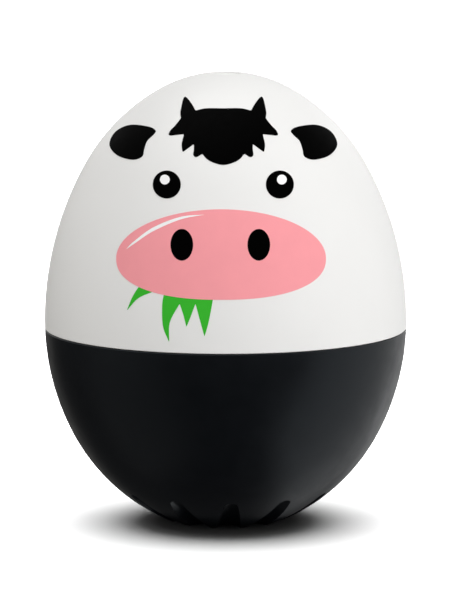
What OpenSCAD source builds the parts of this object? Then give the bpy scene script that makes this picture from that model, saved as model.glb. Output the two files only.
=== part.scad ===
// Egg-shaped electronic timer that is boiled together with the eggs.
// Millimetres, +Z up, origin at the centre of the foot, on the surface that the egg stands on.
// The egg is a solid of revolution: its outline is a chain of tangent arcs, and both shells
// follow the same arcs at their own wall thickness. The front, with the face, is towards -Y.

/* [Egg outline] */
// Height of the closed egg
egg_height = 59.8; // [59.5:0.1:60.5]
// Largest diameter of the egg
egg_d = 48; // [47.8:0.1:48.2]
// Height of the widest section above the surface that the egg stands on
equator_z = 26.7; // [26.5:0.1:26.9]
// Radius of the long arc above the equator
upper_belt_r = 43; // [42.5:0.1:43.5]
// Angle that this arc covers
upper_belt_angle = 28.6; // [28:0.1:29]
// Radius of the shoulder arc, which runs into the crown
shoulder_r = 26.3; // [26:0.1:26.6]
// Radius of the long arc below the equator
lower_belt_r = 32.2; // [31.8:0.1:32.6]
// Angle that this arc covers
lower_belt_angle = 27.7; // [27:0.1:28.4]
// Radius of the bowl arc, which runs down to the foot
bowl_r = 25.7; // [25.5:0.1:25.9]

/* [Shells] */
// Wall thickness of the white upper shell
upper_wall = 2; // [1.8:0.1:2.2]
// Wall thickness of the black lower shell
lower_wall = 2.2; // [2:0.1:2.4]
// Height of the seam between the two shells
seam_z = 25.7; // [25.6:0.1:26]
// Width of the dark line at the seam
seam_gap = 0.1; // [0.1:0.05:0.2]
// Radius of the moulded recess in the crown
dimple_r = 2.1; // [1.8:0.1:2.4]
// Depth of that recess
dimple_depth = 0.5; // [0.3:0.1:0.6]

/* [Scalloped foot] */
// Number of grooves around the foot
scallops = 12; // [10:2:14]
// Direction of the first groove, in degrees, where -90 is straight to the front
scallop_turn = -87; // [-90:1:-84]
// Radius of a groove at its rounded upper end
scallop_top_r = 1.05; // [0.9:0.05:1.1]
// Radius of a groove at the foot
scallop_foot_r = 1.8; // [1.5:0.05:1.8]
// Radius of the shallow recess under the foot
foot_recess_r = 5; // [4:0.5:5.5]
// Depth of that recess
foot_recess_depth = 0.8; // [0.4:0.1:0.8]

/* [Screw closure] */
// Inner radius of the spigot on the lower shell
spigot_bore_r = 19.4; // [19.3:0.05:19.5]
// Outer radius of the spigot between its threads
spigot_r = 21; // [20.9:0.05:21.1]
// Height of the spigot above the seam
spigot_height = 6; // [5.9:0.1:6.1]
// Radius of the bore in the upper shell between its threads
bore_r = 21.95; // [21.9:0.05:22]
// Number of thread starts on each shell
thread_starts = 4; // [2:1:4]
// Rise of the right-handed thread for one full turn
thread_lead = 12; // [11:0.5:12]
// Angle that one thread ridge covers
thread_arc = 80; // [60:5:80]

/* [Circuit board] */
// Radius of the round board
board_r = 19.2; // [19:0.05:19.25]
// Thickness of the board
board_t = 1.2; // [1:0.1:1.6]
// Height of the board's underside
board_z = 25.8; // [25.6:0.1:25.9]

/* [Coin cell] */
// Diameter of the coin cell
cell_d = 20; // [19.9:0.1:20.1]
// Thickness of the coin cell
cell_t = 3.2; // [3:0.1:3.2]
// Distance of the cell's axis behind the egg's axis
cell_y = 4; // [3.8:0.1:4.2]

/* [Hidden] */
$fa = 4;
$fs = 0.3;

eps = 0.02;            // gap between pieces that touch on the real object
skin_step = 2;         // degrees between the points of an outer arc
core_step = 6;         // degrees between the points of an inner arc

// ---- the egg's outline: points are [radius, height] ----

function reversed(p) = [for (i = [len(p) - 1:-1:0]) p[i]];
function on_arc(c, r, a) = [c[0] + r * cos(a), c[1] + r * sin(a)];
function arc_points(c, r, from, to, step) =
    let (n = max(1, round(abs(to - from) / step)))
    [for (i = [1:n]) on_arc(c, r, from + (to - from) * i / n)];

egg_r = egg_d / 2;
upper_belt_c = [egg_r - upper_belt_r, equator_z];
shoulder_c = on_arc(upper_belt_c, upper_belt_r - shoulder_r, upper_belt_angle);
// the crown's centre lies on the axis, where its arc reaches the egg's height
crown_slope = (egg_height - shoulder_r - shoulder_c[1]) / shoulder_c[0];
crown_angle = 90 - 2 * atan(crown_slope);
crown_r = shoulder_r + shoulder_c[0] / cos(crown_angle);
crown_c = [0, egg_height - crown_r];
lower_belt_c = [egg_r - lower_belt_r, equator_z];
bowl_c = on_arc(lower_belt_c, lower_belt_r - bowl_r, -lower_belt_angle);

// from an angle above the equator up to an angle on the crown, both from the horizontal
function upper_arcs(inset, first, last, step) = concat(
    [on_arc(upper_belt_c, upper_belt_r - inset, first)],
    arc_points(upper_belt_c, upper_belt_r - inset, first, upper_belt_angle, step),
    arc_points(shoulder_c, shoulder_r - inset, upper_belt_angle, crown_angle, step),
    arc_points(crown_c, crown_r - inset, crown_angle, last, step));
// from an angle below the equator down to an angle on the bowl
function lower_arcs(inset, first, last, step) = concat(
    [on_arc(lower_belt_c, lower_belt_r - inset, -first)],
    arc_points(lower_belt_c, lower_belt_r - inset, -first, -lower_belt_angle, step),
    arc_points(bowl_c, bowl_r - inset, -lower_belt_angle, -last, step));

// angles at which an arc passes a height or a radius
function bowl_angle(inset, z) = asin((bowl_c[1] - z) / (bowl_r - inset));
function lower_angle_at_z(inset, z) = asin((equator_z - z) / (lower_belt_r - inset));
function lower_angle_at_r(inset, r) = acos((r - lower_belt_c[0]) / (lower_belt_r - inset));
function upper_angle_at_r(inset, r) = acos((r - upper_belt_c[0]) / (upper_belt_r - inset));
function crown_angle_at_r(inset, r) = acos(r / (crown_r - inset));

foot_angle = bowl_angle(0, 0);
floor_z = 2.6;         // inside face of the lower shell's floor
seam_bevel = 0.08;
edge = 0.3;            // bevel on the rims that meet inside
rim_z = seam_z + seam_gap;
spigot_z = seam_z + spigot_height;
seal_h = 1;
seat_z = spigot_z + seal_h;

// ---- plain shapes ----

module disc(r, z0, z1) {
    translate([0, 0, z0]) cylinder(r = r, h = z1 - z0);
}

module ring(outer, inner, z0, z1) {
    difference() {
        disc(outer, z0, z1);
        disc(inner, z0 - 1, z1 + 1);
    }
}

module around(angles, r) {
    for (a = angles) rotate([0, 0, a]) translate([r, 0, 0]) children();
}

module block(size, z0) {
    translate([-size[0] / 2, -size[1] / 2, z0]) cube(size);
}

// a bent strip: its side view, [distance, height], carried across its width
module strip(side_view, width) {
    rotate([90, 0, 90]) translate([0, 0, -width / 2]) linear_extrude(width) polygon(side_view);
}

// ---- tubes along a smooth curve through a few points ----

function unit(v) = v / norm(v);
function catmull(p, i, t) =
    let (a = p[max(i - 1, 0)], b = p[i], c = p[i + 1], d = p[min(i + 2, len(p) - 1)])
    0.5 * (2 * b + (c - a) * t + (2 * a - 5 * b + 4 * c - d) * t ^ 2
        + (3 * b - a - 3 * c + d) * t ^ 3);
function smooth_path(p, steps) = concat(
    [for (i = [0:len(p) - 2]) for (s = [0:steps - 1]) catmull(p, i, s / steps)],
    [p[len(p) - 1]]);
function tangents(p) =
    [for (i = [0:len(p) - 1]) unit(p[min(i + 1, len(p) - 1)] - p[max(i - 1, 0)])];
function carried(t, i, side) = i == len(t) ? [] :
    let (u = unit(side - (side * t[i]) * t[i])) concat([u], carried(t, i + 1, u));

module tube(points, r, sides = 8, steps = 4) {
    path = smooth_path(points, steps);
    t = tangents(path);
    u = carried(t, 0, abs(t[0][2]) > 0.9 ? [1, 0, 0] : [0, 0, 1]);
    last = len(path) - 1;
    verts = [for (i = [0:last]) for (k = [0:sides - 1]) let (a = 360 * k / sides)
        path[i] + r * (cos(a) * u[i] + sin(a) * cross(t[i], u[i]))];
    walls = [for (i = [0:last - 1]) for (k = [0:sides - 1])
        let (a = i * sides + k, b = i * sides + (k + 1) % sides)
        each [[a, a + sides, b + sides], [a, b + sides, b]]];
    first_cap = [for (k = [0:sides - 1]) k];
    last_cap = [for (k = [sides - 1:-1:0]) last * sides + k];
    polyhedron(verts, concat(walls, [first_cap, last_cap]));
}

// ---- thread ridges: a trapezoid carried along a helix ----

ridge_step = 5;
ridge_root_h = 1.3;
ridge_crest_h = 0.8;
ridge_play = 0.15;     // play between the two threads, along the axis
ridge_sunk = 0.4;      // how far a ridge's root sits in its shell
male_crest_r = 21.7;
female_crest_r = 21.2;
male_mid_z = seam_z + 3.7;
female_mid_z = male_mid_z - ridge_root_h - ridge_play;

module thread_ridge(root_r, crest_r, mid_z) {
    n = round(thread_arc / ridge_step);
    section = [[root_r, -ridge_root_h / 2], [crest_r, -ridge_crest_h / 2],
        [crest_r, ridge_crest_h / 2], [root_r, ridge_root_h / 2]];
    verts = [for (i = [0:n]) let (a = thread_arc * (i / n - 0.5)) for (q = section)
        [q[0] * cos(a), q[0] * sin(a), mid_z + a * thread_lead / 360 + q[1]]];
    walls = [for (i = [0:n - 1]) for (k = [0:3])
        let (a = 4 * i + k, b = 4 * i + (k + 1) % 4)
        each [[a, b, b + 4], [a, b + 4, a + 4]]];
    faces = concat(walls, [[3, 2, 1, 0]], [[4 * n, 4 * n + 1, 4 * n + 2, 4 * n + 3]]);
    polyhedron(verts, crest_r > root_r ? faces : [for (f = faces) reversed(f)]);
}

module thread(root_r, crest_r, mid_z) {
    for (i = [0:thread_starts - 1])
        rotate([0, 0, 360 * i / thread_starts]) thread_ridge(root_r, crest_r, mid_z);
}

// ---- screws: the head's underside is at z = 0 ----

module cross_recess(size, depth) {
    for (a = [0, 90])
        rotate([0, 0, a]) translate([-size / 2, -size / 8, -depth]) cube([size, size / 4, depth + 1]);
}

module pan_screw(shank_r, shank_h, head_r, head_h, flange_r) {
    difference() {
        union() {
            translate([0, 0, -shank_h]) cylinder(r = shank_r, h = shank_h + head_h / 2);
            rotate_extrude() polygon([
                [0, 0], [flange_r, 0], [flange_r, head_h * 0.3], [head_r, head_h * 0.35],
                [head_r * 0.9, head_h * 0.85], [head_r * 0.65, head_h], [0, head_h]]);
        }
        translate([0, 0, head_h]) cross_recess(head_r * 1.2, head_h * 0.5);
    }
}

// ---- lower shell ----

rib_angles = [30, 150, 270];
rib_place_r = 17;      // distance of the board screws from the axis
rib_r = 2;
post_angles = [105, 225, 345];
post_place_r = 9;      // distance of the ballast screws from the axis
post_r = 2.2;
post_z = 10.8;
screw_play = 0.02;
board_shank = [0.9, 6];
ballast_shank = [1.1, 6.5];
ballast_z0 = 4.2;
ballast_z1 = 11.4;
well_r = 1.8;          // well that holds the temperature sensor
well_z = 2.2;
well_top = 4.1;
support_r = 6.6;       // ring that the ballast rests on

// an outline inside the wall, which keeps ribs and posts from coming out of the shell
module rooted() {
    intersection() {
        children();
        rotate_extrude() polygon(concat(
            [[0, floor_z - 0.6]],
            reversed(lower_arcs(1.4, 2, bowl_angle(1.4, floor_z - 0.6), 8)),
            [[0, equator_z]]));
    }
}

module lower_body() {
    outer_first = lower_angle_at_z(0, seam_z - seam_bevel);
    rotate_extrude() polygon(concat(
        [[0, foot_recess_depth], [foot_recess_r - foot_recess_depth, foot_recess_depth],
         [foot_recess_r, 0]],
        reversed(lower_arcs(0, outer_first, foot_angle, skin_step)),
        [[on_arc(lower_belt_c, lower_belt_r, -outer_first)[0] - seam_bevel, seam_z],
         [spigot_r, seam_z], [spigot_r, spigot_z - edge], [spigot_r - edge, spigot_z],
         [spigot_bore_r + edge, spigot_z], [spigot_bore_r, spigot_z - edge]],
        lower_arcs(lower_wall, lower_angle_at_r(lower_wall, spigot_bore_r),
            bowl_angle(lower_wall, floor_z), core_step),
        [[0, floor_z]]));
}

module ribs_and_posts() {
    rooted() union() {
        around(rib_angles, rib_place_r) {
            disc(rib_r, floor_z, board_z);
            translate([0, -rib_r, floor_z]) cube([6, 2 * rib_r, board_z - floor_z]);
        }
        around(post_angles, post_place_r) disc(post_r, floor_z - 1, post_z);
        ring(support_r, support_r - 1, floor_z - 0.4, ballast_z0);
        ring(well_r + 0.7, well_r, floor_z - 0.4, well_top);
    }
}

// one groove: a cone with a round upper end, its axis just outside the skin
module scallop() {
    upper = on_arc(bowl_c, bowl_r + 0.5, -50);
    foot = on_arc(bowl_c, bowl_r + 0.7, -foot_angle);
    run = foot - upper;
    beyond = 2;
    length = norm(run) + beyond;
    translate([upper[0], 0, upper[1]]) rotate([0, atan2(run[0], run[1]), 0])
        rotate_extrude() union() {
            intersection() {
                circle(scallop_top_r);
                translate([0, -scallop_top_r]) square([2, 2 * scallop_top_r]);
            }
            polygon([[0, 0], [scallop_top_r - 0.01, 0],
                [scallop_top_r + (scallop_foot_r - scallop_top_r) * length / norm(run), length],
                [0, length]]);
        }
}

module lower_shell() {
    color("#1a1b1d") difference() {
        union() {
            lower_body();
            ribs_and_posts();
            thread(spigot_r - ridge_sunk, male_crest_r, male_mid_z);
        }
        around(rib_angles, rib_place_r)
            disc(board_shank[0] + screw_play, board_z - board_shank[1] - 0.5, board_z + 1);
        around(post_angles, post_place_r)
            disc(ballast_shank[0] + screw_play, ballast_z1 - ballast_shank[1] - 0.5, post_z + 1);
        disc(well_r, well_z, floor_z + 1);
        for (i = [0:scallops - 1]) rotate([0, 0, scallop_turn + 360 * i / scallops]) scallop();
    }
}

// ---- upper shell and seal ----

module upper_body() {
    outer_first = -lower_angle_at_z(0, rim_z + seam_bevel);
    dimple_angle = crown_angle_at_r(0, dimple_r + 0.2);
    dimple_floor = egg_height - dimple_depth;
    rotate_extrude() polygon(concat(
        [[on_arc(lower_belt_c, lower_belt_r, outer_first)[0] - seam_bevel, rim_z],
         on_arc(lower_belt_c, lower_belt_r, outer_first)],
        upper_arcs(0, 0, dimple_angle, skin_step),
        [[dimple_r, on_arc(crown_c, crown_r, dimple_angle)[1] - 0.12],
         [dimple_r - 0.05, dimple_floor + 0.1], [dimple_r - 0.2, dimple_floor],
         [0, dimple_floor]],
        reversed(upper_arcs(upper_wall, upper_angle_at_r(upper_wall, spigot_bore_r), 90, core_step)),
        [[spigot_bore_r, seat_z + eps], [bore_r, seat_z + eps], [bore_r, rim_z + edge],
         [bore_r + edge, rim_z]]));
}

module upper_shell() {
    color("#ecebe8") union() {
        upper_body();
        thread(bore_r + ridge_sunk, female_crest_r, female_mid_z);
    }
}

module seal_ring() {
    outer = bore_r - eps;
    inner = spigot_bore_r + 0.1;
    z0 = spigot_z + eps;
    color("#c9cdd0") rotate_extrude() polygon([
        [inner + 0.1, z0], [outer - 0.1, z0], [outer, z0 + 0.1], [outer, seat_z - 0.1],
        [outer - 0.1, seat_z], [inner + 0.1, seat_z], [inner, seat_z - 0.1], [inner, z0 + 0.1]]);
}

// ---- ballast ----

ballast_hole_r = 3.2;

module ballast_weight() {
    color("#8d9094") difference() {
        rotate_extrude() polygon([
            [ballast_hole_r, ballast_z0], [10, ballast_z0], [13.3, 7], [14.4, 8.6],
            [14.4, ballast_z1 - 0.4], [14, ballast_z1], [ballast_hole_r + 0.4, ballast_z1],
            [ballast_hole_r, ballast_z1 - 0.4]]);
        around(post_angles, post_place_r) disc(post_r + 0.2, ballast_z0 - 1, ballast_z1 + 1);
    }
}

module ballast_screws() {
    color("#b8babd") around(post_angles, post_place_r) translate([0, 0, ballast_z1])
        pan_screw(ballast_shank[0], ballast_shank[1], 2.2, 1.7, 3.3);
}

// ---- temperature sensor ----

bead_r = 1.1;
bead_z0 = well_z + 0.4;
bead_z1 = bead_z0 + 3;
sensor_angle = 120;
lead_r = 0.3;
lead_gap = 1.2;        // distance between the two leads of a pair
lead_place_r = 17.6;   // distance of the lead holes from the axis

module temperature_sensor() {
    color("#2b211c") disc(bead_r, bead_z0, bead_z1);
}

module thermal_paste() {
    color("#d8dadb") difference() {
        disc(well_r - eps, well_z + eps, well_top - 0.3);
        disc(bead_r + eps, bead_z0 - eps, well_top + 1);
    }
}

module sensor_leads() {
    color("#c8862a") rotate([0, 0, sensor_angle]) for (side = [-0.5, 0.5]) {
        y = side * lead_gap;
        tube([[0, y, bead_z1 + eps], [0, y, 9], [0, y, 13], [2.5, y, 16.5], [8, y, 17.6],
            [14, y, 17.8], [17, y, 19.5], [lead_place_r, y, 23], [lead_place_r, y, board_top]],
            lead_r);
    }
}

// ---- sounder ----

cup_r = 14.5;
cup_z = 20.3;
piezo_r = 13.5;
piezo_z = 20.6;
piezo_t = 0.3;
ceramic_r = 10;
ceramic_t = 0.22;
red_angle = 195;
black_angle = 205;
red_place_r = 6;       // solder point of the red lead on the ceramic
black_place_r = 11.8;  // solder point of the black lead on the brass
dot_h = 0.5;

module sounder_cup() {
    plate_t = 0.8;
    step_z = piezo_z + piezo_t;
    color("#3a3d40") difference() {
        disc(cup_r, cup_z, board_z);
        disc(piezo_r + 0.05, cup_z - 1, step_z);
        disc(piezo_r - 0.9, step_z - 1, board_z - plate_t);
        for (a = [0, 90, 180, 270])
            rotate([0, 0, a + 45]) translate([0, 0, 23]) rotate([0, 90, 0]) cylinder(r = 1, h = 20);
    }
}

module piezo_plate() {
    color("#c9a227") disc(piezo_r, piezo_z, piezo_z + piezo_t);
}

module piezo_ceramic() {
    color("#ded9cf") disc(ceramic_r, piezo_z - ceramic_t, piezo_z);
}

module piezo_lead(angle, place_r, dot_z) {
    rotate([0, 0, angle]) tube([[place_r, 0, dot_z - dot_h - eps], [place_r + 0.4, 0, 18.8],
        [place_r + 2.2, 0, 18], [15.5, 0, 18.2], [17.2, 0, 20], [lead_place_r, 0, 23],
        [lead_place_r, 0, board_top]], lead_r);
}

module piezo_lead_red() {
    color("#b3201c") piezo_lead(red_angle, red_place_r, piezo_z - ceramic_t);
}

module piezo_lead_black() {
    color("#1b1b1b") piezo_lead(black_angle, black_place_r, piezo_z);
}

// ---- circuit board ----

board_top = board_z + board_t;
pad_h = 0.05;          // thickness of solder under a surface part

module board_frame() {
    translate([0, 0, board_top + pad_h]) children();
}

module lead_holes() {
    rotate([0, 0, sensor_angle]) for (side = [-0.5, 0.5])
        translate([lead_place_r, side * lead_gap, 0]) children();
    around([red_angle, black_angle], lead_place_r) children();
}

module circuit_board() {
    color("#1f6b3a") difference() {
        disc(board_r, board_z, board_top);
        around(rib_angles, rib_place_r) disc(board_shank[0] + 0.1, board_z - 1, board_top + 1);
        lead_holes() disc(lead_r + 0.1, board_z - 1, board_top + 1);
    }
}

module board_screws() {
    color("#b8babd") around(rib_angles, rib_place_r) translate([0, 0, board_top])
        pan_screw(board_shank[0], board_shank[1] - board_t, 1.7, 1.2, 1.75);
}

module solder_dome(r, h) {
    ball_r = (r * r + h * h) / (2 * h);
    intersection() {
        translate([0, 0, h - ball_r]) sphere(ball_r);
        disc(r + 1, 0, h + 1);
    }
}

module solder_joints() {
    color("#c4c7c9") {
        lead_holes() translate([0, 0, board_top]) solder_dome(0.8, 0.7);
        rotate([0, 0, red_angle]) translate([red_place_r, 0, piezo_z - ceramic_t])
            mirror([0, 0, 1]) solder_dome(0.9, dot_h);
        rotate([0, 0, black_angle]) translate([black_place_r, 0, piezo_z])
            mirror([0, 0, 1]) solder_dome(0.9, dot_h);
    }
}

// ---- coin cell and its holder ----

cell_r = cell_d / 2;
holder_r = 12;
holder_floor = 0.8;
holder_bore_r = cell_r + 0.12;
cell_z = board_top + holder_floor + eps;
holder_top = board_top + 3.4;
contact_t = 0.2;

module at_cell() {
    translate([0, cell_y, 0]) children();
}

module battery_holder() {
    finger_gap = 9;
    contact_slot = 5;
    color("#26282b") at_cell() difference() {
        disc(holder_r, board_top, holder_top);
        disc(holder_bore_r, board_top + holder_floor, holder_top + 1);
        disc(5.5, board_top - 1, holder_top);
        translate([-holder_r - 1, -finger_gap / 2, board_top + holder_floor])
            cube([2 * holder_r + 2, finger_gap, 5]);
        translate([-contact_slot / 2, 0, board_top - 1]) cube([contact_slot, holder_r + 1, 6]);
    }
}

// a spring finger that presses on the can's side
module positive_contact() {
    t = contact_t;
    z = board_top + eps;
    side = cell_y + cell_r + eps;
    color("#d6d2c4") strip([
        [side + 4, z], [side + 4, z + t], [side + 1.1, z + t], [side + 0.9, z + 1],
        [side + t, z + 1.9], [side + t, z + 2.5], [side + 0.7, z + 3.2], [side + 0.5, z + 3.3],
        [side, z + 2.6], [side, z + 1.8], [side + 0.6, z + 0.8], [side + 0.7, z]], 3);
}

// a leaf that rises under the cell
module negative_contact() {
    t = contact_t;
    z = board_top + eps;
    top = cell_z - eps;
    color("#d6d2c4") at_cell() strip([
        [-5, z], [-2.6, z], [-1, top - t], [1, top - t], [2.2, z + 0.3], [2.3, z + 0.3 + t],
        [1.1, top], [-1.1, top], [-2.7, z + t], [-5, z + t]], 3);
}

can_wall = 0.25;
gasket_r = cell_r - can_wall;
cap_r = 8.7;

module coin_cell_can() {
    top = cell_z + cell_t;
    color("#c6c9cc") at_cell() rotate_extrude() polygon([
        [0, top], [cell_r - 0.4, top], [cell_r, top - 0.4], [cell_r, cell_z + 0.3],
        [cell_r - 0.2, cell_z + 0.1], [cell_r - 0.5, cell_z + 0.05], [cell_r - 0.5, cell_z + 0.2],
        [gasket_r, cell_z + 0.4], [gasket_r, top - can_wall], [0, top - can_wall]]);
}

module coin_cell_gasket() {
    color("#3c4147") at_cell() ring(gasket_r, cap_r, cell_z + 0.4, cell_z + cell_t - can_wall);
}

module coin_cell_cap() {
    top = cell_z + cell_t - can_wall;
    color("#b9bcbf") at_cell() rotate_extrude() polygon([
        [0, cell_z], [cap_r - 0.8, cell_z], [cap_r - 0.3, cell_z + 0.2], [cap_r, cell_z + 0.6],
        [cap_r, top], [0, top]]);
}

// ---- parts on the board ----

chip_size = [8.6, 3.9, 1.4];
chip_y = -11.6;
chip_pin_pitch = 1.27;
chip_pins_a_side = 7;
coil_place = [-10.6, -11.2];
coil_r = 2.8;
transistor_place = [12.4, -10.6];
small_place_r = 16.6;
// angle around the board of each small part
resistor_angles = [164, 172, 180, 188];
capacitor_angles = [343, 353, 3, 13];
resistor_size = [0.8, 1.6, 0.5];
capacitor_size = [1.25, 2, 0.9];
terminal = 0.3;        // length of a tinned end

module controller_chip() {
    lift = 0.15;
    color("#202123") board_frame() translate([0, chip_y, 0]) difference() {
        block(chip_size, lift);
        translate([-chip_size[0] / 2 + 0.9, -0.9, lift + chip_size[2] - 0.1])
            cylinder(r = 0.4, h = 1);
    }
}

module chip_pins() {
    foot = chip_size[1] / 2 + 1.05;
    color("#c4c7c9") board_frame() translate([0, chip_y, 0])
        for (i = [0:chip_pins_a_side - 1]) for (turn = [0, 180])
            rotate([0, 0, turn]) translate([(i - (chip_pins_a_side - 1) / 2) * chip_pin_pitch, 0, 0])
                strip([[chip_size[1] / 2, 0.75], [foot - 0.6, 0.75], [foot - 0.45, 0], [foot, 0],
                    [foot, 0.18], [foot - 0.32, 0.18], [foot - 0.47, 0.93],
                    [chip_size[1] / 2, 0.93]], 0.42);
}

module clock_crystal() {
    can_r = 1;
    color("#c9cbce") board_frame() translate([7.9, -8.3, can_r]) rotate([90, 0, 0])
        rotate_extrude() polygon([[0, 0], [0.8, 0], [0.8, 0.3], [can_r, 0.3], [can_r, 5.7],
            [can_r - 0.2, 6], [0, 6]]);
}

module at_coil() {
    board_frame() translate([coil_place[0], coil_place[1], 0]) children();
}

module coil_core() {
    color("#3b3b3d") at_coil() rotate_extrude() polygon([
        [0, 0], [coil_r, 0], [coil_r, 0.8], [1.4, 0.8], [1.4, 3.4], [coil_r, 3.4],
        [coil_r, 4.1], [coil_r - 0.2, 4.3], [0, 4.3]]);
}

module coil_winding() {
    color("#b5652a") at_coil() ring(coil_r - 0.4, 1.4 + eps, 0.8 + eps, 3.4 - eps);
}

module drive_transistor() {
    color("#202123") board_frame() translate([transistor_place[0], transistor_place[1], 0])
        block([1.3, 2.9, 1], 0.1);
}

module transistor_pins() {
    color("#c4c7c9") board_frame() translate([transistor_place[0], transistor_place[1], 0])
        for (p = [[1, 0.95], [1, -0.95], [-1, 0]]) translate([0, p[1], 0])
            rotate([0, 0, p[0] > 0 ? -90 : 90])
                strip([[0.65, 0.5], [0.8, 0.5], [0.8, 0], [1.25, 0], [1.25, 0.15], [0.95, 0.15],
                    [0.95, 0.65], [0.65, 0.65]], 0.42);
}

module small_parts(angles, size) {
    body_size = [size[0], size[1] - 2 * terminal, size[2]];
    board_frame() around(angles, small_place_r) block(body_size, 0);
}

module resistors() {
    color("#2a2b2e") small_parts(resistor_angles, resistor_size);
}

module capacitors() {
    color("#b08d5a") small_parts(capacitor_angles, capacitor_size);
}

module chip_terminals() {
    color("#c4c7c9") board_frame()
        for (kind = [[resistor_angles, resistor_size], [capacitor_angles, capacitor_size]])
            around(kind[0], small_place_r) for (side = [-1, 1])
                translate([0, side * (kind[1][1] - terminal) / 2, 0])
                    block([kind[1][0], terminal, kind[1][2]], 0);
}

lower_shell();
upper_shell();
seal_ring();
ballast_weight();
ballast_screws();
temperature_sensor();
sensor_leads();
thermal_paste();
sounder_cup();
piezo_plate();
piezo_ceramic();
piezo_lead_red();
piezo_lead_black();
circuit_board();
board_screws();
battery_holder();
positive_contact();
negative_contact();
coin_cell_can();
coin_cell_gasket();
coin_cell_cap();
controller_chip();
chip_pins();
clock_crystal();
coil_core();
coil_winding();
drive_transistor();
transistor_pins();
resistors();
capacitors();
chip_terminals();
solder_joints();
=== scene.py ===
"""An egg timer with a cow's face: a white upper shell on a black lower one, in a pale studio."""
import math

import bpy
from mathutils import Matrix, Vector
from mathutils.geometry import delaunay_2d_cdt


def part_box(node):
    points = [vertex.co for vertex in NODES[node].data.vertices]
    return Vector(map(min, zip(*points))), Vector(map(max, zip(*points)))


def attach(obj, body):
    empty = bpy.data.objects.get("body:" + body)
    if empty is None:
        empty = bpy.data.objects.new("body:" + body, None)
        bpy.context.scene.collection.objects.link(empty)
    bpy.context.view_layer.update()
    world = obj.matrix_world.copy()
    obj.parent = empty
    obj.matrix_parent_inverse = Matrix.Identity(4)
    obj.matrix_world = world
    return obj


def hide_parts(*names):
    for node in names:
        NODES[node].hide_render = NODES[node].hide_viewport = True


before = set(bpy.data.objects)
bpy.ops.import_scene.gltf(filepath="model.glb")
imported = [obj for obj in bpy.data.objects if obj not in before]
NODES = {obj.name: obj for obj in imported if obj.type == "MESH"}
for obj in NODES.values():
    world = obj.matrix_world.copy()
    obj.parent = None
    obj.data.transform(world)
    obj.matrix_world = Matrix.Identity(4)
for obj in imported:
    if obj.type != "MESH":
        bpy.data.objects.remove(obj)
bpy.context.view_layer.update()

MM = 0.001

# ---------------------------------------------------------------- camera

CAMERA_ELEVATION = math.radians(8.1)
CAMERA_DISTANCE = 0.700
CAMERA_TARGET = Vector((0, 0, 0.030))
LENS_MM = 316.4
SENSOR_MM = 36
SHIFT_RIGHT = -0.0010
SHIFT_UP = -0.0078

LOOK = Vector((0, math.cos(CAMERA_ELEVATION), -math.sin(CAMERA_ELEVATION)))
PICTURE_RIGHT = Vector((1, 0, 0))
PICTURE_UP = Vector((0, math.sin(CAMERA_ELEVATION), math.cos(CAMERA_ELEVATION)))
CAMERA_PLACE = CAMERA_TARGET - LOOK * CAMERA_DISTANCE


def make_camera():
    """The photograph's view: a long lens, a little above the egg's middle."""
    data = bpy.data.cameras.new("camera")
    data.lens = LENS_MM
    data.sensor_width = SENSOR_MM
    data.shift_x = SHIFT_RIGHT
    data.shift_y = SHIFT_UP
    camera = bpy.data.objects.new("camera", data)
    camera.location = CAMERA_PLACE
    camera.rotation_euler = LOOK.to_track_quat("-Z", "Y").to_euler()
    bpy.context.scene.collection.objects.link(camera)
    bpy.context.scene.camera = camera


# ---------------------------------------------------------------- materials

# Most of a noise's values lie between these two.
NOISE_LOW = 0.3
NOISE_HIGH = 0.7
# A wave texture of scale 1 repeats after this length.
WAVE_LENGTH = 0.314


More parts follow.
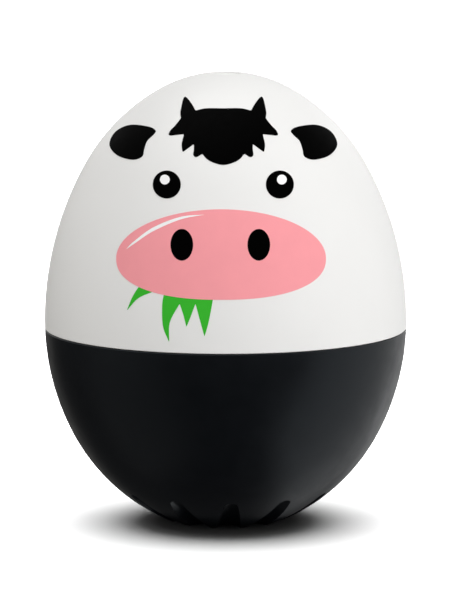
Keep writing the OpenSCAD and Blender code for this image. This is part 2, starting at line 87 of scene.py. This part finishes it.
class Finish:
    """A Principled material, with a few ways to vary its colour, gloss and relief over the surface."""

    def __init__(self, name, colour, roughness, metallic=0.0, **sockets):
        self.material = bpy.data.materials.new(name)
        self.material.use_nodes = True
        self.tree = self.material.node_tree
        self.shader = self.tree.nodes["Principled BSDF"]
        self.shader.inputs["Base Color"].default_value = (*colour, 1)
        self.shader.inputs["Roughness"].default_value = roughness
        self.shader.inputs["Metallic"].default_value = metallic
        for socket, value in sockets.items():
            self.shader.inputs[socket.replace("_", " ")].default_value = value

    def node(self, kind, **settings):
        """A new node of that kind, with its settings."""
        made = self.tree.nodes.new(kind)
        for setting, value in settings.items():
            setattr(made, setting, value)
        return made

    def place(self, stretch=(1, 1, 1)):
        """The place on the object in metres, scaled along each axis."""
        coordinates = self.node("ShaderNodeTexCoord")
        mapping = self.node("ShaderNodeMapping", vector_type="POINT")
        mapping.inputs["Scale"].default_value = stretch
        self.tree.links.new(coordinates.outputs["Object"], mapping.inputs["Vector"])
        return mapping.outputs["Vector"]

    def noise(self, grain, detail=3, stretch=(1, 1, 1)):
        """Cloudy noise whose features are about grain metres across."""
        made = self.node("ShaderNodeTexNoise")
        made.inputs["Scale"].default_value = 1 / grain
        made.inputs["Detail"].default_value = detail
        self.tree.links.new(self.place(stretch), made.inputs["Vector"])
        return made.outputs["Fac"]

    def rings(self, pitch):
        """Rings round the object's Z axis, pitch metres apart."""
        made = self.node("ShaderNodeTexWave", wave_type="RINGS", rings_direction="Z")
        made.inputs["Scale"].default_value = WAVE_LENGTH / pitch
        self.tree.links.new(self.place(), made.inputs["Vector"])
        return made.outputs["Fac"]

    def spread(self, factor, low, high):
        """A value that goes from low to high with the factor."""
        made = self.node("ShaderNodeMapRange", interpolation_type="SMOOTHSTEP")
        made.inputs["From Min"].default_value = NOISE_LOW
        made.inputs["From Max"].default_value = NOISE_HIGH
        made.inputs["To Min"].default_value = low
        made.inputs["To Max"].default_value = high
        self.tree.links.new(factor, made.inputs["Value"])
        return made.outputs["Result"]

    def colours(self, factor, low, high):
        """The base colour goes from low to high with the factor."""
        ramp = self.node("ShaderNodeValToRGB")
        ends = ramp.color_ramp.elements
        ends[0].position = NOISE_LOW
        ends[0].color = (*low, 1)
        ends[1].position = NOISE_HIGH
        ends[1].color = (*high, 1)
        self.tree.links.new(factor, ramp.inputs["Fac"])
        self.tree.links.new(ramp.outputs["Color"], self.shader.inputs["Base Color"])
        return self

    def gloss(self, factor, low, high):
        """The roughness goes from low to high with the factor."""
        self.tree.links.new(self.spread(factor, low, high), self.shader.inputs["Roughness"])
        return self

    def relief(self, height, depth, strength=1.0):
        """A bump, depth metres from its lowest to its highest."""
        bump = self.node("ShaderNodeBump")
        bump.inputs["Distance"].default_value = depth
        bump.inputs["Strength"].default_value = strength
        self.tree.links.new(height, bump.inputs["Height"])
        self.tree.links.new(bump.outputs["Normal"], self.shader.inputs["Normal"])
        return self


def shade(colour, factor):
    """The colour, darker or lighter by that factor."""
    return tuple(c * factor for c in colour)


def white_shell():
    """Satin white moulded plastic, with the faint flow and polish of its mould."""
    colour = (0.84, 0.835, 0.82)
    finish = Finish("white_shell", colour, 0.42, IOR=1.5)
    finish.colours(finish.noise(0.012), shade(colour, 0.99), shade(colour, 1.01))
    finish.gloss(finish.noise(0.002), 0.39, 0.45)
    return finish.relief(finish.noise(0.0006, 2), 0.000002)


def black_shell():
    """Satin black moulded plastic, a little cooler than neutral."""
    colour = (0.0022, 0.0025, 0.0034)
    finish = Finish("black_shell", colour, 0.36, IOR=1.46, Specular_Tint=(0.80, 0.91, 1.0, 1))
    finish.colours(finish.noise(0.010), shade(colour, 0.9), shade(colour, 1.1))
    finish.gloss(finish.noise(0.0025), 0.33, 0.39)
    return finish.relief(finish.noise(0.0005, 2), 0.000002)


def ink(name, colour):
    """Printing ink: opaque, satin, with the slight unevenness of a pad print."""
    finish = Finish(name, colour, 0.5, IOR=1.15, Specular_IOR_Level=0.1)
    finish.colours(finish.noise(0.003), shade(colour, 0.985), shade(colour, 1.015))
    finish.gloss(finish.noise(0.0012), 0.47, 0.53)
    return finish.relief(finish.noise(0.0003, 2), 0.000001)


def plastic(name, colour, roughness):
    """A moulded inner part, finely grained."""
    finish = Finish(name, colour, roughness)
    finish.colours(finish.noise(0.004), shade(colour, 0.85), shade(colour, 1.15))
    finish.gloss(finish.noise(0.001), roughness - 0.06, roughness + 0.06)
    return finish.relief(finish.noise(0.00025, 4), 0.00001)


def silicone():
    """Soft translucent grey rubber."""
    colour = (0.50, 0.53, 0.55)
    finish = Finish("silicone", colour, 0.6, Subsurface_Weight=0.25, Subsurface_Scale=0.001)
    finish.colours(finish.noise(0.003), shade(colour, 0.92), shade(colour, 1.06))
    return finish.relief(finish.noise(0.0004, 4), 0.000015)


def turned_steel(name, colour, pitch):
    """Steel faced on a lathe: fine rings round the object's axis, with a few dull clouds."""
    finish = Finish(name, colour, 0.3, metallic=1.0)
    finish.colours(finish.noise(0.006), shade(colour, 0.8), shade(colour, 1.1))
    finish.gloss(finish.noise(0.003), 0.24, 0.42)
    return finish.relief(finish.rings(pitch), 0.00001, 0.5)


def plated(name, colour, low, high):
    """Bright plated or tinned metal, slightly uneven."""
    finish = Finish(name, colour, low, metallic=1.0)
    finish.colours(finish.noise(0.0015), shade(colour, 0.85), shade(colour, 1.1))
    finish.gloss(finish.noise(0.0006), low, high)
    return finish.relief(finish.noise(0.0003, 4), 0.000006)


def brushed_steel(name, colour):
    """Rolled stainless steel, brushed along X."""
    finish = Finish(name, colour, 0.28, metallic=1.0)
    strokes = finish.noise(0.0002, 4, stretch=(0.04, 1, 1))
    finish.colours(finish.noise(0.005), shade(colour, 0.9), shade(colour, 1.08))
    finish.gloss(strokes, 0.2, 0.36)
    return finish.relief(strokes, 0.000004)


def brass_disc():
    """Rolled brass, a little tarnished."""
    finish = Finish("brass_disc", (0.72, 0.52, 0.16), 0.3, metallic=1.0)
    finish.colours(finish.noise(0.004), (0.58, 0.38, 0.12), (0.78, 0.58, 0.22))
    strokes = finish.noise(0.00025, 4, stretch=(1, 0.05, 1))
    finish.gloss(strokes, 0.22, 0.4)
    return finish.relief(strokes, 0.000004)


def ceramic(name, colour, roughness):
    """Fired ceramic, with a fine grain."""
    finish = Finish(name, colour, roughness)
    finish.colours(finish.noise(0.0012, 5), shade(colour, 0.82), shade(colour, 1.12))
    return finish.relief(finish.noise(0.0002, 5), 0.00001)


def enamelled_copper():
    """Copper wire under clear enamel."""
    colour = (0.62, 0.25, 0.10)
    finish = Finish("copper_wire", colour, 0.3, metallic=1.0, Coat_Weight=0.6, Coat_Roughness=0.12)
    finish.colours(finish.noise(0.001), shade(colour, 0.8), shade(colour, 1.15))
    return finish.relief(finish.noise(0.0003), 0.000004)


def thermal_paste():
    """A thick white-grey smear, uneven from the spatula."""
    colour = (0.70, 0.72, 0.73)
    finish = Finish("thermal_paste", colour, 0.62)
    finish.colours(finish.noise(0.002), shade(colour, 0.88), shade(colour, 1.05))
    return finish.relief(finish.noise(0.0012, 5), 0.00015)


# The brick pattern's units in a metre, and a track's width in those units.
TRACK_SCALE = 240
TRACK_WIDTH = 0.04


def board_laminate():
    """Green solder mask over fibreglass, with the copper tracks showing through as a lighter maze."""
    finish = Finish("board_laminate", (0.02, 0.16, 0.06), 0.32, Coat_Weight=0.4, Coat_Roughness=0.2)
    tracks = finish.node("ShaderNodeTexBrick", offset=0.5, squash=0.6, squash_frequency=3)
    tracks.inputs["Scale"].default_value = TRACK_SCALE
    tracks.inputs["Mortar Size"].default_value = TRACK_WIDTH
    tracks.inputs["Mortar Smooth"].default_value = 0.1
    finish.tree.links.new(finish.place(), tracks.inputs["Vector"])
    mask = tracks.outputs["Fac"]
    finish.colours(mask, (0.015, 0.13, 0.045), (0.04, 0.26, 0.09))
    finish.gloss(finish.noise(0.002), 0.28, 0.4)
    return finish.relief(mask, 0.00002, 0.6)


# ---------------------------------------------------------------- CAD nodes

SHARP_EDGE = math.radians(30)
WELD_DISTANCE = 0.000001


def smooth(node):
    """Joins a CAD node's faces for shading: round surfaces show no facets, and edges stay crisp."""
    mesh = node.data
    if "custom_normal" in mesh.attributes:
        mesh.attributes.remove(mesh.attributes["custom_normal"])
    mesh.polygons.foreach_set("use_smooth", [True] * len(mesh.polygons))
    if "sharp_edge" in mesh.attributes:
        mesh.attributes.remove(mesh.attributes["sharp_edge"])
    weld = node.modifiers.new("weld", "WELD")
    weld.merge_threshold = WELD_DISTANCE
    split = node.modifiers.new("edges", "EDGE_SPLIT")
    split.split_angle = SHARP_EDGE
    split.use_edge_sharp = False


def dress(finish, *names):
    """Gives the named CAD nodes that finish."""
    for name in names:
        node = NODES[name]
        smooth(node)
        node.data.materials.clear()
        node.data.materials.append(finish.material)


def dress_nodes():
    """Every CAD node's material, and the coil's wire, which shares one of them."""
    dress(white_shell(), "upper_shell")
    dress(black_shell(), "lower_shell")
    dress(silicone(), "seal_ring")
    dress(turned_steel("ballast_steel", (0.42, 0.43, 0.44), 0.0003), "ballast_weight")
    dress(plated("zinc_screw", (0.60, 0.61, 0.63), 0.2, 0.35), "ballast_screws", "board_screws")
    dress(plastic("sensor_epoxy", (0.03, 0.015, 0.01), 0.15), "temperature_sensor")
    copper = enamelled_copper()
    dress(copper, "sensor_leads", "coil_winding")
    make_coil_turns(copper)
    dress(thermal_paste(), "thermal_paste")
    dress(plastic("grey_plastic", (0.05, 0.055, 0.06), 0.45), "sounder_cup")
    dress(brass_disc(), "piezo_plate")
    dress(ceramic("white_ceramic", (0.72, 0.69, 0.62), 0.5), "piezo_ceramic")
    dress(plastic("red_wire", (0.50, 0.02, 0.015), 0.4), "piezo_lead_red")
    dress(plastic("black_wire", (0.01, 0.01, 0.01), 0.4), "piezo_lead_black")
    dress(board_laminate(), "circuit_board")
    dress(plastic("holder_plastic", (0.02, 0.021, 0.024), 0.5), "battery_holder")
    dress(plated("nickel_spring", (0.68, 0.65, 0.58), 0.15, 0.3), "positive_contact", "negative_contact")
    dress(brushed_steel("cell_steel", (0.58, 0.59, 0.60)), "coin_cell_can", "coin_cell_cap")
    dress(plastic("cell_gasket", (0.05, 0.055, 0.06), 0.5), "coin_cell_gasket")
    dress(plastic("chip_epoxy", (0.014, 0.014, 0.016), 0.55), "controller_chip", "drive_transistor")
    tinned = plated("tinned_metal", (0.62, 0.63, 0.64), 0.22, 0.4)
    dress(tinned, "chip_pins", "transistor_pins", "chip_terminals")
    dress(plated("crystal_can", (0.66, 0.67, 0.69), 0.12, 0.22), "clock_crystal")
    dress(ceramic("ferrite", (0.04, 0.04, 0.042), 0.6), "coil_core")
    dress(ceramic("resistor_body", (0.02, 0.02, 0.022), 0.25), "resistors")
    dress(ceramic("capacitor_body", (0.43, 0.26, 0.11), 0.5), "capacitors")
    dress(plated("solder", (0.60, 0.61, 0.62), 0.1, 0.25), "solder_joints")


# ---------------------------------------------------------------- the coil's wire

WIRE_R = 0.00012
WIRE_PITCH = 2.05 * WIRE_R
WIRE_LAYERS = 2
STEPS_A_TURN = 24


def make_coil_turns(finish):
    """The coil's enamelled wire, wound up and down its core, in place of the plain copper ring."""
    low, high = (Vector(corner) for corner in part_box("coil_winding"))
    middle = (low + high) / 2
    outer_r = (high.x - low.x) / 2 - WIRE_R
    bottom, top = low.z + WIRE_R, high.z - WIRE_R
    steps = int((top - bottom) / WIRE_PITCH * STEPS_A_TURN)
    points = []
    for layer in range(WIRE_LAYERS):
        radius = outer_r - 2 * WIRE_R * (WIRE_LAYERS - 1 - layer)
        for step in range(steps + 1):
            turn = 2 * math.pi * (step + layer * steps) / STEPS_A_TURN
            rise = (top - bottom) * step / steps
            height = bottom + rise if layer % 2 == 0 else top - rise
            x = middle.x + radius * math.cos(turn)
            y = middle.y + radius * math.sin(turn)
            points.append((x, y, height))
    curve = bpy.data.curves.new("coil_turns", "CURVE")
    curve.dimensions = "3D"
    curve.bevel_depth = WIRE_R
    curve.bevel_resolution = 2
    curve.use_fill_caps = True
    spline = curve.splines.new("POLY")
    spline.points.add(len(points) - 1)
    for spot, point in zip(spline.points, points):
        spot.co = (*point, 1)
    curve.materials.append(finish.material)
    piece = bpy.data.objects.new("coil_turns", curve)
    bpy.context.scene.collection.objects.link(piece)
    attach(piece, "lower")
    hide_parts("coil_winding")


# ---------------------------------------------------------------- the printed face

# The upper shell's outer skin, as part.scad has it: arcs that meet smoothly, from equator to crown.
EGG_HEIGHT = 0.0598
EGG_RADIUS = 0.024
EQUATOR_Z = 0.0267
BELT_R = 0.043
BELT_ANGLE = math.radians(28.6)
SHOULDER_R = 0.0263


def skin_arcs():
    """Each arc's centre (radius, height), its own radius and its lowest angle, from the crown down."""
    belt = (EGG_RADIUS - BELT_R, EQUATOR_Z)
    reach = BELT_R - SHOULDER_R
    shoulder = (belt[0] + reach * math.cos(BELT_ANGLE), belt[1] + reach * math.sin(BELT_ANGLE))
    slope = (EGG_HEIGHT - SHOULDER_R - shoulder[1]) / -shoulder[0]
    crown_angle = math.pi / 2 - 2 * math.atan(-slope)
    crown_r = SHOULDER_R + shoulder[0] / math.cos(crown_angle)
    crown = (0, EGG_HEIGHT - crown_r)
    return (
        (*crown, crown_r, crown_angle),
        (*shoulder, SHOULDER_R, BELT_ANGLE),
        (*belt, BELT_R, -math.pi),
    )


SKIN_ARCS = skin_arcs()


def from_skin(point):
    """How far outside the skin a point lies, and the skin's outward direction there."""
    radius = math.hypot(point.x, point.y)
    for centre_r, centre_z, arc_r, start in SKIN_ARCS:
        out, up = radius - centre_r, point.z - centre_z
        if math.atan2(up, out) >= start:
            break
    away = math.hypot(out, up)
    outward = out / away / radius
    return away - arc_r, Vector((point.x * outward, point.y * outward, up / away))


CLEAR_OF_EGG = 0.045
NEAR_EGG = CAMERA_DISTANCE - CLEAR_OF_EGG
RAY_STEPS = 40


def thrown_on_egg(across, up):
    """Where the camera's line through a point of the picture plane meets the egg, and the skin's
    outward direction there. The picture plane stands across the view, through the camera's target,
    and its points are in millimetres."""
    aim = CAMERA_TARGET + PICTURE_RIGHT * across * MM + PICTURE_UP * up * MM
    line = (aim - CAMERA_PLACE).normalized()
    point = CAMERA_PLACE + line * NEAR_EGG
    for _ in range(RAY_STEPS):
        gap, outward = from_skin(point)
        point = point + line * gap
    return point, outward


# Lengths in the picture plane, in millimetres.
OUTLINE_STEP = 0.15
GRID_STEP = 0.5
SAME_POINT = 1e-6
# The triangulation's mode that gives the triangles inside the outline.
INSIDE_ONLY = 1
# How deep a film's underside lies in the shell, in metres.
FILM_ROOT = 0.00004


def inside(point, outline):
    """Whether a point of the picture plane lies inside a closed outline."""
    crossings = 0
    for (ax, ay), (bx, by) in zip(outline, outline[1:] + outline[:1]):
        if (ay > point[1]) != (by > point[1]):
            crossings += point[0] < ax + (point[1] - ay) / (by - ay) * (bx - ax)
    return crossings % 2 == 1


def filled(outline):
    """Points and triangles that fill an outline, with a grid inside it so that the film can bend."""
    left, bottom = (min(values) for values in zip(*outline))
    right, top = (max(values) for values in zip(*outline))
    rim = [Vector(point) for point in outline]
    grid = []
    for column in range(int((right - left) / GRID_STEP)):
        for row in range(int((top - bottom) / GRID_STEP)):
            spot = Vector((left + (column + 0.5) * GRID_STEP, bottom + (row + 0.5) * GRID_STEP))
            clear = min((spot - point).length for point in rim) > GRID_STEP / 3
            if clear and inside(spot, outline):
                grid.append(spot)
    loop = list(range(len(rim)))
    points, _, triangles, *_ = delaunay_2d_cdt(rim + grid, [], [loop], INSIDE_ONLY, SAME_POINT)
    return points, triangles


def film(name, finish, outline, height):
    """A thin closed layer of ink, thrown onto the egg along the camera's lines, height off its skin."""
    flat, triangles = filled(outline)
    tops, roots = [], []
    for spot in flat:
        point, outward = thrown_on_egg(spot.x, spot.y)
        tops.append(point + outward * height)
        roots.append(point - outward * FILM_ROOT)
    count = len(flat)
    faces = []
    rim = {}
    for triangle in triangles:
        a, b, c = (flat[i] for i in triangle)
        turn = (b - a).cross(c - a)
        corners = list(triangle) if turn > 0 else list(reversed(triangle))
        faces.append(corners)
        faces.append([i + count for i in reversed(corners)])
        for start, end in zip(corners, corners[1:] + corners[:1]):
            if rim.pop((end, start), None) is None:
                rim[(start, end)] = True
    faces += [[end, start, start + count, end + count] for start, end in rim]
    mesh = bpy.data.meshes.new(name)
    mesh.from_pydata(tops + roots, [], faces)
    mesh.polygons.foreach_set("use_smooth", [True] * len(mesh.polygons))
    mesh.set_sharp_from_angle(angle=SHARP_EDGE)
    mesh.materials.append(finish.material)
    piece = bpy.data.objects.new(name, mesh)
    bpy.context.scene.collection.objects.link(piece)
    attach(piece, "upper")


FEWEST_POINTS = 24


def oval(across, up, half_width, half_top, half_bottom=None, fullness_below=2.0):
    """An ellipse, whose lower half may have its own height and be fuller than an ellipse."""
    half_bottom = half_bottom or half_top
    around = 2 * math.pi * max(half_width, half_top)
    count = max(FEWEST_POINTS, int(around / OUTLINE_STEP))
    points = []
    for i in range(count):
        angle = 2 * math.pi * i / count
        side, rise = math.cos(angle), math.sin(angle)
        power = 1 if rise >= 0 else 2 / fullness_below
        tall = half_top if rise >= 0 else half_bottom
        points.append((
            across + half_width * math.copysign(abs(side) ** power, side),
            up + tall * math.copysign(abs(rise) ** power, rise),
        ))
    return points


def drawn(*knots):
    """A closed outline through the knots, each (across, up): smooth, or with a corner where the knot
    ends in "corner"."""
    points = []
    count = len(knots)
    for i in range(count):
        before, start, end, after = (knots[(i + k) % count] for k in (-1, 0, 1, 2))
        a, b = Vector(start[:2]), Vector(end[:2])
        leave = (b - a) if len(start) > 2 else (b - Vector(before[:2])) / 2
        arrive = (b - a) if len(end) > 2 else (Vector(after[:2]) - a) / 2
        steps = max(2, int((b - a).length / OUTLINE_STEP))
        for step in range(steps):
            t = step / steps
            points.append(tuple(
                (2 * t**3 - 3 * t**2 + 1) * a + (t**3 - 2 * t**2 + t) * leave
                + (3 * t**2 - 2 * t**3) * b + (t**3 - t**2) * arrive
            ))
    return points


def softened(outline):
    """The outline with its corners rounded a little, as ink flows."""
    around = zip(outline[-1:] + outline[:-1], outline, outline[1:] + outline[:1])
    return [tuple((Vector(a) + 2 * Vector(b) + Vector(c)) / 4) for a, b, c in around]


# The face is drawn in the picture plane, in millimetres across and up. This is its middle line.
FACE_MIDDLE = -0.3


def other_side(outline):
    """The outline mirrored about the face's middle line."""
    return [(2 * FACE_MIDDLE - across, up) for across, up in reversed(outline)]


# How high each layer of ink stands off the skin, in metres.
LAYER_UNDER = 0.000025
LAYER_MIDDLE = 0.000040
LAYER_TOP = 0.000055


def make_eyes(black, white):
    """Round black eyes, each with one highlight up and outward."""
    eye = oval(-7.8, 14.7, 1.85, 1.85)
    glint = oval(-8.05, 15.35, 0.65, 0.65)
    for side, shape in (("left", eye), ("right", other_side(eye))):
        film("eye_" + side, black, shape, LAYER_MIDDLE)
    for side, shape in (("left", glint), ("right", other_side(glint))):
        film("eye_glint_" + side, white, shape, LAYER_TOP)


def make_ears(black):
    """Drooping leaf-shaped ears, the root towards the middle."""
    ear = drawn(
        (-15.4, 20.0),
        (-14.6, 21.7),
        (-12.7, 22.6),
        (-10.3, 22.4),
        (-9.3, 21.9),
        (-9.5, 21.4),
        (-10.4, 20.5),
        (-10.8, 19.4),
        (-11.1, 18.4),
        (-12.4, 18.0),
        (-14.4, 18.6),
    )
    film("ear_left", black, ear, LAYER_MIDDLE)
    film("ear_right", black, other_side(ear), LAYER_MIDDLE)


def make_tuft(black):
    """The tuft of hair with two small horns: one outline, drawn on the left and mirrored."""
    half = (
        (FACE_MIDDLE, 24.8),
        (-2.6, 24.8),
        (-4.0, 24.5, "corner"),
        (-4.3, 25.1),
        (-4.7, 25.7),
        (-5.1, 26.2),
        (-5.4, 26.4, "corner"),
        (-5.6, 26.1),
        (-5.8, 25.3),
        (-6.0, 24.2),
        (-5.9, 23.5, "corner"),
        (-6.7, 22.5),
        (-7.3, 21.9),
        (-7.6, 21.3, "corner"),
        (-7.3, 21.2),
        (-6.4, 21.3),
        (-5.5, 21.4, "corner"),
        (-5.8, 20.2),
        (-5.8, 19.6),
        (-5.7, 19.0, "corner"),
        (-5.0, 19.5),
        (-4.2, 20.1, "corner"),
        (-4.2, 19.3),
        (-4.3, 18.6),
        (-4.0, 18.3, "corner"),
        (-3.7, 18.4),
        (-3.1, 18.8, "corner"),
        (-2.5, 18.1),
        (-1.6, 17.6),
    )
    low = (FACE_MIDDLE, 17.3)
    mirrored = [(2 * FACE_MIDDLE - knot[0], *knot[1:]) for knot in reversed(half[1:])]
    film("tuft_and_horns", black, softened(drawn(*half, low, *mirrored)), LAYER_MIDDLE)


MUZZLE_MIDDLE = (-0.6, 4.9)


def make_muzzle(pink, black, white):
    """The wide pink muzzle, its nostrils and one curved glint on its upper left."""
    film("muzzle", pink, oval(*MUZZLE_MIDDLE, 13.9, 6.5, 5.5, 2.3), LAYER_MIDDLE)
    film("nostril_left", black, oval(-5.8, 6.7, 1.5, 2.1), LAYER_TOP)
    film("nostril_right", black, oval(4.4, 6.7, 1.5, 2.1), LAYER_TOP)
    glint = drawn(
        (-13.2, 6.1, "corner"),
        (-12.2, 7.1),
        (-9.6, 9.0),
        (-6.0, 10.4),
        (-2.8, 10.7, "corner"),
        (-6.0, 10.05),
        (-9.6, 8.5),
        (-12.1, 6.85),
    )
    film("muzzle_glint", white, glint, LAYER_TOP)


def make_grass(green):
    """Blades of grass that hang from the mouth, their tops under the muzzle."""
    small_blade = drawn(
        (-11.2, 1.6, "corner"),
        (-12.3, -0.1),
        (-13.1, -2.0, "corner"),
        (-11.6, -0.4),
        (-9.6, 0.5, "corner"),
        (-9.5, 1.6, "corner"),
    )
    blades = drawn(
        (-8.0, 1.0, "corner"),
        (-8.4, -1.2),
        (-8.3, -4.1),
        (-7.5, -6.2, "corner"),
        (-7.4, -3.6),
        (-6.1, -1.1, "corner"),
        (-5.6, -2.6),
        (-5.2, -4.2, "corner"),
        (-4.7, -3.0),
        (-4.0, -1.1, "corner"),
        (-3.4, -3.3),
        (-2.8, -5.5, "corner"),
        (-2.2, -3.3),
        (-1.4, 1.0, "corner"),
    )
    film("grass_small_blade", green, softened(small_blade), LAYER_UNDER)
    film("grass_blades", green, softened(blades), LAYER_UNDER)


def make_face():
    """The cow's face, printed on the front of the upper shell."""
    black = ink("face_black_ink", (0.0003, 0.0003, 0.0003))
    pink = ink("face_pink_ink", (0.94, 0.35, 0.38))
    green = ink("face_green_ink", (0.045, 0.47, 0.032))
    white = ink("face_white_ink", (0.95, 0.95, 0.95))
    make_grass(green)
    make_muzzle(pink, black, white)
    make_eyes(black, white)
    make_ears(black)
    make_tuft(black)


# ---------------------------------------------------------------- studio

def circle(radius, height, count):
    """That many points round the Z axis."""
    turns = [2 * math.pi * i / count for i in range(count)]
    return [(radius * math.cos(turn), radius * math.sin(turn), height) for turn in turns]


def set_piece(name, corners, faces, finish, hidden_from):
    """A mesh of the studio, hidden from the named kinds of ray."""
    mesh = bpy.data.meshes.new(name)
    mesh.from_pydata(corners, [], faces)
    mesh.materials.append(finish.material)
    piece = bpy.data.objects.new(name, mesh)
    bpy.context.scene.collection.objects.link(piece)
    for ray in hidden_from:
        setattr(piece, "visible_" + ray, False)
    return piece


FLOOR_HALF = 6.0
FLOOR_GREY = 0.09


def make_floor():
    """A plain pale floor at the egg's foot, lit to white, which the shells' gloss doesn't mirror."""
    corners = [(x * FLOOR_HALF, y * FLOOR_HALF, 0) for x, y in ((-1, -1), (1, -1), (1, 1), (-1, 1))]
    paint = Finish("studio_floor", (FLOOR_GREY,) * 3, 0.9, Specular_IOR_Level=0.0)
    floor = set_piece("floor", corners, [(0, 1, 2, 3)], paint, ("glossy", "diffuse", "shadow"))
    return floor


BACKDROP_R = 2.2
BACKDROP_HEIGHT = 1.2
BACKDROP_SIDES = 96
BACKDROP_RADIANCE = 1.2


def make_backdrop():
    """A white wall all round, past every camera, so that low views have white behind the egg."""
    foot = circle(BACKDROP_R, 0, BACKDROP_SIDES)
    head = circle(BACKDROP_R, BACKDROP_HEIGHT, BACKDROP_SIDES)
    sides = []
    for i in range(BACKDROP_SIDES):
        after = (i + 1) % BACKDROP_SIDES
        sides.append((i, after, after + BACKDROP_SIDES, i + BACKDROP_SIDES))
    paper = Finish(
        "backdrop_white", (0, 0, 0), 1.0, Specular_IOR_Level=0.0,
        Emission_Color=(1, 1, 1, 1), Emission_Strength=BACKDROP_RADIANCE,
    )
    wall = set_piece("backdrop", foot + head, sides, paper, ("glossy", "diffuse", "shadow"))


FOOT_SHADE_R = 0.010
FOOT_SHADE_Z = -0.0001
FOOT_SHADE_SIDES = 48


def make_foot_shade():
    """A dark disc just under the floor, where the egg's shadow lies: painted shadow that stands in for
    the shaded floor there, seen only by the foot's gloss.
    """
    rim = circle(FOOT_SHADE_R, FOOT_SHADE_Z, FOOT_SHADE_SIDES)
    # Painted shadow: a near-black disc in place of the shaded floor under the foot.
    dark = Finish("shade", (0.01, 0.01, 0.01), 1.0, Specular_IOR_Level=0.0)
    disc = set_piece("foot_shade", rim, [range(FOOT_SHADE_SIDES)], dark, ("camera", "diffuse"))


def light_group(name, floor, state):
    """A light linking collection in which the floor alone is lit, or alone is left out."""
    group = bpy.data.collections.new(name)
    group.objects.link(floor)
    group.collection_objects[0].light_linking.link_state = state
    return group


WHITE = (1, 1, 1)
WARM = (1.0, 0.975, 0.92)

# Name, azimuth and elevation in degrees, distance and (width, height) in metres, radiance, colour, and
# whether the shells' gloss mirrors the lamp. Azimuth 0 is the camera's side and 90 the picture's right.
EGG_LAMPS = (
    ("key", 45, 13, 0.9, (0.6, 0.6), 2.62, WHITE, False),
    ("right_wall", 102, -29, 0.7, (1.3, 1.05), 0.54, WHITE, True),
    ("right_rim", 155, -3, 0.7, (0.35, 0.6), 0.6, WHITE, True),
    ("left_rim", -160, -5, 0.7, (0.3, 0.6), 0.16, WARM, True),
    ("left_wall", -72, -32, 0.9, (0.9, 1.2), 0.11, WARM, True),
    ("fill_left", -98, -18, 1.2, (1.0, 1.0), 1.38, WARM, False),
    ("fill_right", 112, -8, 1.2, (1.0, 1.0), 0.62, WHITE, False),
    ("fill_front", 8, -20, 1.2, (1.0, 1.0), 1.62, WHITE, False),
    ("top", -120, 78, 0.9, (0.6, 0.6), 2.1, WHITE, True),
    ("fill_back", 180, 0, 1.2, (1.0, 1.0), 1.0, WHITE, False),
)
FLOOR_LAMPS = (
    ("overhead", 180, 77.5, 2.0, (3.4, 3.4), 44.0, WHITE, True),
    ("overhead_haze", 180, 77.5, 2.0, (5.0, 5.0), 5.5, WHITE, True),
)


def softbox(receivers, shape, name, azimuth, elevation, distance, size, radiance, colour, glossy):
    """A soft lamp that faces the egg, whose power is that of a rectangle of its size and radiance."""
    data = bpy.data.lights.new(name, "AREA")
    data.shape = shape
    data.size, data.size_y = size
    data.energy = radiance * math.pi * size[0] * size[1]
    data.color = colour
    lamp = bpy.data.objects.new(name, data)
    turn, rise = math.radians(azimuth), math.radians(elevation)
    back = Vector((math.sin(turn) * math.cos(rise), -math.cos(turn) * math.cos(rise), math.sin(rise)))
    lamp.location = CAMERA_TARGET + back * distance
    lamp.rotation_euler = back.to_track_quat("Z", "Y").to_euler()
    lamp.visible_camera = False
    lamp.visible_glossy = glossy
    bpy.context.scene.collection.objects.link(lamp)
    lamp.light_linking.receiver_collection = receivers


SKY_RADIANCE = 0.68
GROUND_RADIANCE = 0.04
FADE_HEIGHT = 0.2


def make_world():
    """Even soft light from above, which fades at the horizon to almost none from below."""
    world = bpy.data.worlds.new("studio")
    world.use_nodes = True
    bpy.context.scene.world = world
    nodes, links = world.node_tree.nodes, world.node_tree.links
    coordinates = nodes.new("ShaderNodeTexCoord")
    parts = nodes.new("ShaderNodeSeparateXYZ")
    fade = nodes.new("ShaderNodeMapRange")
    fade.interpolation_type = "SMOOTHSTEP"
    fade.inputs["From Min"].default_value = 0.0
    fade.inputs["From Max"].default_value = FADE_HEIGHT
    fade.inputs["To Min"].default_value = GROUND_RADIANCE
    fade.inputs["To Max"].default_value = SKY_RADIANCE
    links.new(coordinates.outputs["Generated"], parts.inputs["Vector"])
    links.new(parts.outputs["Z"], fade.inputs["Value"])
    links.new(fade.outputs["Result"], nodes["Background"].inputs["Strength"])
    nodes["Background"].inputs["Color"].default_value = (1, 1, 1, 1)


def make_lights(floor):
    """Walls, rims and a key that shape the egg, fills that only brighten it, and lamps for the floor."""
    egg = light_group("lights_the_egg", floor, "EXCLUDE")
    ground = light_group("lights_the_floor", floor, "INCLUDE")
    for lamp in EGG_LAMPS:
        softbox(egg, "RECTANGLE", *lamp)
    for lamp in FLOOR_LAMPS:
        softbox(ground, "DISK", *lamp)


make_camera()
dress_nodes()
make_face()
studio_floor = make_floor()
make_backdrop()
make_foot_shade()
make_world()
make_lights(studio_floor)
bpy.context.scene.view_settings.view_transform = "Standard"
